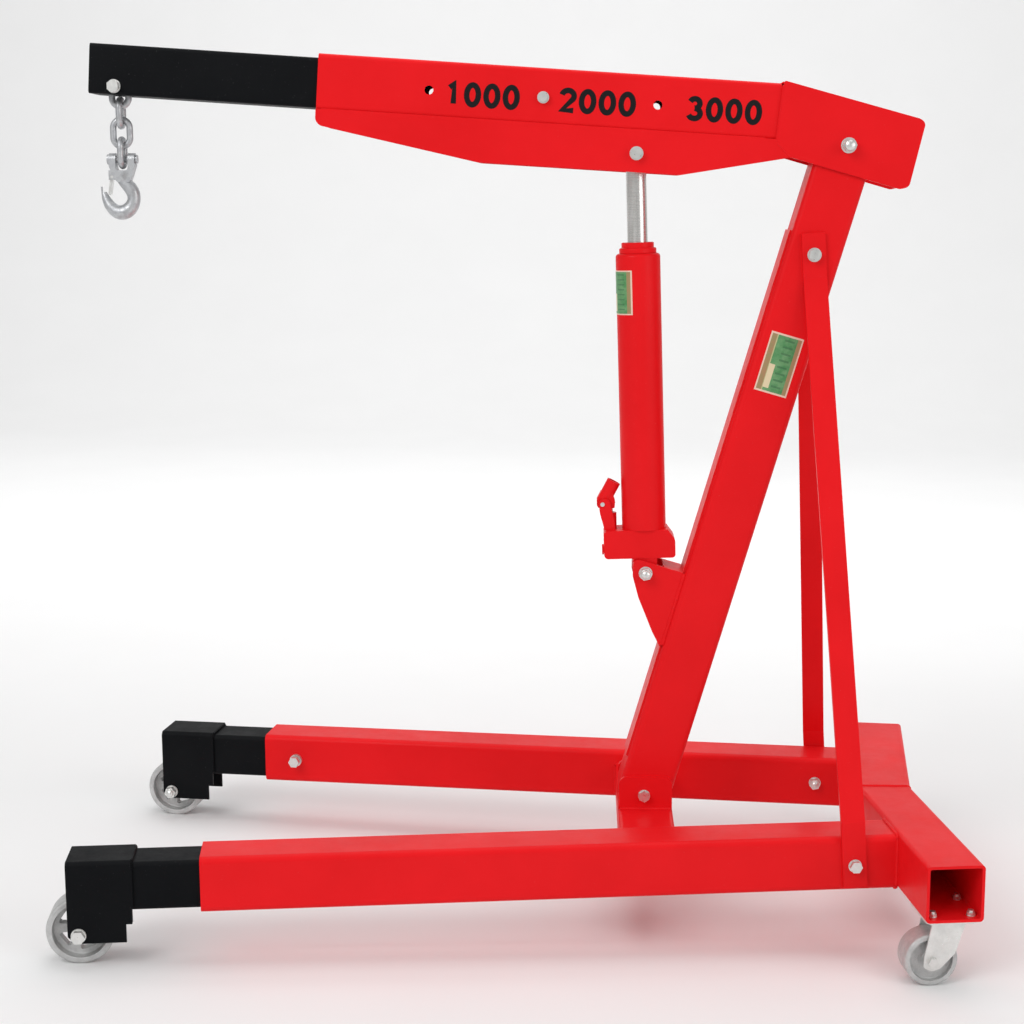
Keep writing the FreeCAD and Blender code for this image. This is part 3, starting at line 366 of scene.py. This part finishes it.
def rounded_box_path(u, v, width, height, radius, steps=4):
    """Points round a rectangle with rounded corners, as (u, v) pairs."""
    out = []
    corners = ((1, 1, 0), (-1, 1, 90), (-1, -1, 180), (1, -1, 270))
    for su, sv, start in corners:
        cu = u + su * (width / 2 - radius)
        cv = v + sv * (height / 2 - radius)
        for k in range(steps + 1):
            t = math.radians(start + 90 * k / steps)
            out.append((cu + radius * math.cos(t), cv + radius * math.sin(t)))
    return out


# ---------------------------------------------------------------- welds
def frame_welds():
    """Beads where the legs, cross member, foot plates and rear tube meet."""
    for name, s in SIDES:
        at = side_frame(s)
        ring = rounded_box_path(s * LEG_OFFSET, LEG_MIDDLE, LEG_SIDE, LEG_SIDE, 9)
        weld("weld_leg_" + name, [[(-38.8, y, z) for y, z in ring]], 2.6, at, "base", closed=True)
        slope = math.tan(math.radians(SPLAY))
        root = 169.0 - MAST_HALF / math.cos(math.radians(SPLAY))
        front, back, low, top = -385, -307, 81, 129.5
        edge = [(x, s * (root - x * slope - 0.5), z)
                for x, z in ((front, low), (front, top - 4), (front + 4, top), (back - 4, top),
                             (back, top - 4), (back, low))]
        weld("weld_cross_" + name, [edge], 2.6, WORLD, "base")
        foot = s * (MAST_HALF + 6.8)
        weld("weld_foot_" + name, [[(-383, foot, 130.2), (-309, foot, 130.2)]], 2.4, WORLD, "base")
    ring = rounded_box_path(0, REAR_MIDDLE, REAR_SIDE, REAR_SIDE, 5.5)
    weld("weld_rear_middle", [[(x, 0, z) for x, z in ring]], 1.9, WORLD, "base", closed=True)


def mast_welds():
    """Stitch welds along the front stiffener, and the jack bracket's corners."""
    for name, s in SIDES:
        stiff = [[(-37.7, s * 28.4, z), (-37.7, s * 28.4, z + 46)] for z in range(55, 780, 92)]
        weld("weld_stiffener_" + name, stiff, 1.7, MAST, "base")
        corner = [(-38.4, s * 32.2, 216), (-38.4, s * 32.2, 324)]
        weld("weld_bracket_" + name, [corner], 3.0, MAST, "base")


def boom_welds():
    """Seams between the sleeve, its cheeks and the folded head."""
    for name, s in SIDES:
        seam = s * (BOOM_HALF + 1.4)
        weld("weld_cheek_" + name, [[(-716, seam, 1.6), (-112, seam, 1.6)]], 1.5, BOOM, "boom")
        edge = [(-96.9, seam, 0), (-93.4, seam, 74)]
        weld("weld_head_" + name, [edge], 2.0, BOOM, "boom")
        butt = [(-96.5, s * (BOOM_HALF + CHEEK - 0.7), -2.5), (-77, s * (BOOM_HALF + CHEEK - 0.7), -20.5)]
        weld("weld_butt_" + name, [butt], 1.6, BOOM, "boom")
    weld("weld_head_top", [[(-93.6, -34, 76.6), (-93.6, 34, 76.6)]], 2.0, BOOM, "boom")


def bracket_welds():
    """Seam over the back edge of each folded wheel bracket."""
    x, low, top, bend = -1054.6, 84, 147, 6
    for name, s in SIDES:
        centre, half = s * LEG_OFFSET, 32.5 + 2.0
        left, right = centre - half, centre + half
        path = [(x, left, low), (x, left, top - bend), (x, left + bend, top),
                (x, right - bend, top), (x, right, top - bend), (x, right, low)]
        weld("weld_wheel_bracket_" + name, [path], 2.2, side_frame(s), "ext_" + name, "black_paint")


# ---------------------------------------------------------------- numerals
def arc(cx, cz, rx, rz, start, end, steps=14):
    """Points along part of an ellipse, angles in degrees."""
    angles = [math.radians(start + (end - start) * k / steps) for k in range(steps + 1)]
    return [(cx + rx * math.cos(t), cz + rz * math.sin(t)) for t in angles]


def digit_strokes(digit, w, h):
    """Centre lines of one bold numeral in a w by h box, as polylines."""
    if digit == "0":
        return [arc(w / 2, h / 2, w / 2, h / 2, 90, 450, 28)]
    if digit == "1":
        return [[(w * 0.18, h * 0.80), (w * 0.55, h), (w * 0.55, 0)]]
    if digit == "2":
        top = arc(w / 2, h * 0.72, w / 2, h * 0.28, 170, -35)
        return [top + [(w * 0.08, h * 0.0), (w, 0)]]
    upper = arc(w * 0.47, h * 0.76, w * 0.42, h * 0.24, 160, -90)
    lower = arc(w * 0.47, h * 0.26, w * 0.50, h * 0.26, 90, -160)
    return [upper, lower]


def ribbon(points, width):
    """Outline strip of constant width round a centre line, as left and right rows."""
    left, right, count = [], [], len(points)
    loop = (Vector(points[0]) - Vector(points[-1])).length < 1e-6
    for i, point in enumerate(points):
        here = Vector(point)
        before = Vector(points[i - 1]) if i > 0 else (Vector(points[-2]) if loop else here)
        after = Vector(points[i + 1]) if i < count - 1 else (Vector(points[1]) if loop else here)
        into = (here - before).normalized() if (here - before).length > 1e-6 else (after - here).normalized()
        out = (after - here).normalized() if (after - here).length > 1e-6 else into
        bend = (into + out).normalized() if (into + out).length > 0.3 else into
        side = Vector((-bend.y, bend.x))
        grow = min(1.6, 1 / max(0.35, side.dot(Vector((-out.y, out.x)))))
        left.append(here + side * width / 2 * grow)
        right.append(here - side * width / 2 * grow)
    return left, right


def numerals(name, text, x_start, z_start, width, height):
    """Bold numerals laid on both outer faces of the box tube, a film thick."""
    bold, gap, film_thick, overlap = 7.4, 3.0, 0.2, 0.04
    pitch = width / len(text)
    for side_name, s in SIDES:
        verts, faces = [], []
        for index, digit in enumerate(text):
            for layer, stroke in enumerate(digit_strokes(digit, pitch - bold - gap, height - bold)):
                rows = ribbon(stroke, bold)
                base = len(verts)
                low = 0.02 + overlap * layer
                for film in (low, low + film_thick):
                    for row in rows:
                        for p in row:
                            u = index * pitch + bold / 2 + gap / 2 + p.x
                            x = x_start + u if s < 0 else x_start + width - u
                            verts.append((x, s * (BOOM_HALF + film), z_start + bold / 2 + p.y))
                faces.extend(film_faces(base, len(stroke)))
        add_piece(name + "_" + side_name, verts, faces, BOOM, "boom", "red_paint", MATERIALS["ink"],
                  smooth=False)


def film_faces(base, count):
    """Closed strip: two rows below, two rows above, joined along the edges and ends."""
    l0, r0, l1, r1 = (base + k * count for k in range(4))
    faces = []
    for i in range(count - 1):
        faces.append((l0 + i, r0 + i, r0 + i + 1, l0 + i + 1))
        faces.append((l1 + i, l1 + i + 1, r1 + i + 1, r1 + i))
        faces.append((l0 + i, l0 + i + 1, l1 + i + 1, l1 + i))
        faces.append((r0 + i, r1 + i, r1 + i + 1, r0 + i + 1))
    for i in (0, count - 1):
        faces.append((l0 + i, l1 + i, r1 + i, r0 + i))
    return faces


# ---------------------------------------------------------------- plates
def mast_plate():
    """Flat foil plate on the mast's near face."""
    columns, rows = 6, 10
    low, high, bottom, top = -23.5, 22.5, 601.0, 685.0
    verts, uvs = [], []
    for film in (0.05, 0.4):
        for j in range(rows + 1):
            for i in range(columns + 1):
                u, v = i / columns, j / rows
                verts.append((low + u * (high - low), -MAST_HALF - film, bottom + v * (top - bottom)))
                uvs.append((u, v))
    add_piece("plate_mast", verts, slab_faces(columns, rows), MAST, "base", "red_paint",
              MATERIALS["plate_mast"], uvs, smooth=False)


def jack_plate():
    """Foil plate wrapped round the jack's cylinder."""
    columns, rows, radius = 18, 8, CYLINDER_RADIUS
    start, end, bottom, top = -18.0, -112.0, 362.5, 423.5
    verts, uvs = [], []
    for film in (0.05, 0.4):
        for j in range(rows + 1):
            for i in range(columns + 1):
                u, v = i / columns, j / rows
                angle = math.radians(-90 + start + u * (end - start))
                r = radius + film
                verts.append((r * math.cos(angle), r * math.sin(angle), bottom + v * (top - bottom)))
                uvs.append((1 - u, v))
    add_piece("plate_jack", verts, slab_faces(columns, rows), JACK, "jack", "red_paint",
              MATERIALS["plate_jack"], uvs, smooth=False)


def slab_faces(columns, rows):
    """Closed thin slab from two grids of points, lower grid first."""
    wide = columns + 1
    layer = wide * (rows + 1)
    faces = []
    for j in range(rows):
        for i in range(columns):
            a = j * wide + i
            faces.append((a, a + wide, a + wide + 1, a + 1))
            faces.append((layer + a, layer + a + 1, layer + a + wide + 1, layer + a + wide))
    rim = [i for i in range(wide)]
    rim += [j * wide + columns for j in range(1, rows + 1)]
    rim += [rows * wide + i for i in range(columns - 1, -1, -1)]
    rim += [j * wide for j in range(rows - 1, 0, -1)]
    for a, b in zip(rim, rim[1:] + rim[:1]):
        faces.append((a, b, layer + b, layer + a))
    return faces


# ---------------------------------------------------------------- bolt threads
def thread_end(name, place_at, body, centre, direction, radius, start, length):
    """Threaded, chamfered end of a bolt's shank, standing proud of its nut."""
    pitch, turns_sides = 1.75, 20
    along = Vector(direction).normalized()
    helper = Vector((0, 0, 1)) if abs(along.z) < 0.9 else Vector((1, 0, 0))
    u = along.cross(helper).normalized()
    v = along.cross(u)
    rings = []
    steps = int(length / pitch * 4)
    for i in range(steps + 1):
        depth = start + length * i / steps
        ring = []
        for k in range(turns_sides):
            t = 2 * math.pi * k / turns_sides
            wave = 0.5 + 0.5 * math.cos(2 * math.pi * (length * i / steps / pitch) - t)
            r = radius + 0.05 + 0.35 * wave
            r -= max(0.0, depth - (start + length - 1.2)) * 0.8
            ring.append(Vector(centre) + along * depth + (u * math.cos(t) + v * math.sin(t)) * r)
        rings.append(ring)
    verts, faces = skin(rings)
    return add_piece(name, verts, faces, place_at, body, "zinc")


def bolt_threads():
    """Thread on each bolt's free end, from inside its nut to just past the shank."""
    near, far = (0, -1, 0), (0, 1, 0)
    lean = math.radians(LEAN)
    pivot = (0, 0, math.hypot(268.0, 912.5))
    jack_pin = (-322.5 * math.sin(lean), 0, 322.5 * math.cos(lean))
    thread_end("thread_pivot", MAST, "base", pivot, near, M14, 55.2, 4.6)
    thread_end("thread_jack_base", MAST, "base", jack_pin, near, M12, 44.2, 4.6)
    thread_end("thread_foot", MAST, "base", (0, 0, 0), far, M10, 53.0, 4.2)
    thread_end("thread_strut_top", MAST, "base", (0, 0, 799.0), far, M12, 54.4, 4.8)
    thread_end("thread_ram_pin", BOOM, "boom", (-284.0, 0, -29.0), far, M12, 53.4, 4.7)
    for name, s in SIDES:
        at = side_frame(s)
        inward = (0, -s, 0)
        strut_foot = (-98.2, s * (LEG_OFFSET + 3), LEG_MIDDLE)
        axle = (-1124.5, s * LEG_OFFSET, 50)
        thread_end("thread_strut_foot_" + name, at, "base", strut_foot, inward, M12, 51.4, 4.7)
        thread_end("thread_front_axle_" + name, at, "ext_" + name, axle, inward, M12, 47.4, 4.7)


# ---------------------------------------------------------------- studio
def backdrop():
    """Pale floor that curves up into a wall behind the hoist."""
    half_width, bend = 14.0, 3.0
    profile = [(-9.0, 0.0), (5.0, 0.0)]
    profile += [(5.0 + bend * math.sin(t), bend * (1 - math.cos(t)))
                for t in (math.pi / 2 * k / 16 for k in range(1, 17))]
    profile.append((5.0 + bend, 12.0))
    verts, faces = [], []
    for y, z in profile:
        verts.extend(((-half_width, y, z), (half_width, y, z)))
    for i in range(len(profile) - 1):
        faces.append((2 * i, 2 * i + 1, 2 * i + 3, 2 * i + 2))
    mesh = bpy.data.meshes.new("backdrop")
    mesh.from_pydata(verts, [], faces)
    mesh.polygons.foreach_set("use_smooth", [True] * len(mesh.polygons))
    mesh.materials.append(studio_paper("studio_paper"))
    obj = bpy.data.objects.new("backdrop", mesh)
    bpy.context.scene.collection.objects.link(obj)


def area_light(name, location, target, size, watts):
    """Rectangular soft light aimed at a point."""
    data = bpy.data.lights.new(name, "AREA")
    data.shape = "RECTANGLE"
    data.size, data.size_y = size
    data.energy = watts
    light = bpy.data.objects.new(name, data)
    light.location = location
    aim = Vector(target) - Vector(location)
    light.rotation_mode = "QUATERNION"
    light.rotation_quaternion = aim.to_track_quat("-Z", "Y")
    bpy.context.scene.collection.objects.link(light)


def studio_lights():
    """Large soft lights and an even white surround."""
    target = (0.0, 0.0, 0.55)
    area_light("key", (-2.4, -3.2, 3.4), target, (2.4, 2.4), 84)
    area_light("fill", (3.4, -2.6, 2.0), target, (2.6, 2.6), 40)
    area_light("top", (0.2, 0.6, 4.2), target, (3.6, 3.0), 64)
    area_light("wall", (0.0, 1.8, 4.0), (0.0, 7.5, 2.0), (7.0, 2.0), 190)
    world = bpy.data.worlds.new("studio")
    world.use_nodes = True
    background = world.node_tree.nodes["Background"]
    background.inputs["Color"].default_value = (1, 1, 1, 1)
    background.inputs["Strength"].default_value = 0.46
    bpy.context.scene.world = world


def camera():
    """Long lens on the near side, just under the boom's height, looking a little down."""
    yaw, pitch, roll = 0.037957, 0.170571, -0.003963
    focal, sensor, width = 1886.26, 36.0, 1024.0
    forward = Vector((-math.sin(yaw) * math.cos(pitch), math.cos(yaw) * math.cos(pitch), -math.sin(pitch)))
    level = Vector((math.cos(yaw), math.sin(yaw), 0))
    upright = level.cross(forward)
    right = level * math.cos(roll) + upright * math.sin(roll)
    up = upright * math.cos(roll) - level * math.sin(roll)
    data = bpy.data.cameras.new("camera")
    data.sensor_width = sensor
    data.lens = focal / width * sensor
    data.shift_y = 0.0101
    data.clip_start, data.clip_end = 0.05, 60.0
    obj = bpy.data.objects.new("camera", data)
    turn = Matrix((right, up, -forward)).transposed().to_4x4()
    eye = Vector((-0.4369, -2.64557, 0.995167))
    obj.matrix_world = STANCE @ Matrix.Translation(eye) @ turn
    bpy.context.scene.collection.objects.link(obj)
    bpy.context.scene.camera = obj


dress_nodes()
frame_welds()
mast_welds()
boom_welds()
bracket_welds()
numerals("numeral_1000", "1000", -550.0, 17.2, 105.0, 33.5)
numerals("numeral_2000", "2000", -395.0, 18.3, 107.0, 33.5)
numerals("numeral_3000", "3000", -223.0, 18.3, 105.0, 33.5)
mast_plate()
jack_plate()
bolt_threads()
backdrop()
studio_lights()
camera()
bpy.context.scene.view_settings.view_transform = "Standard"
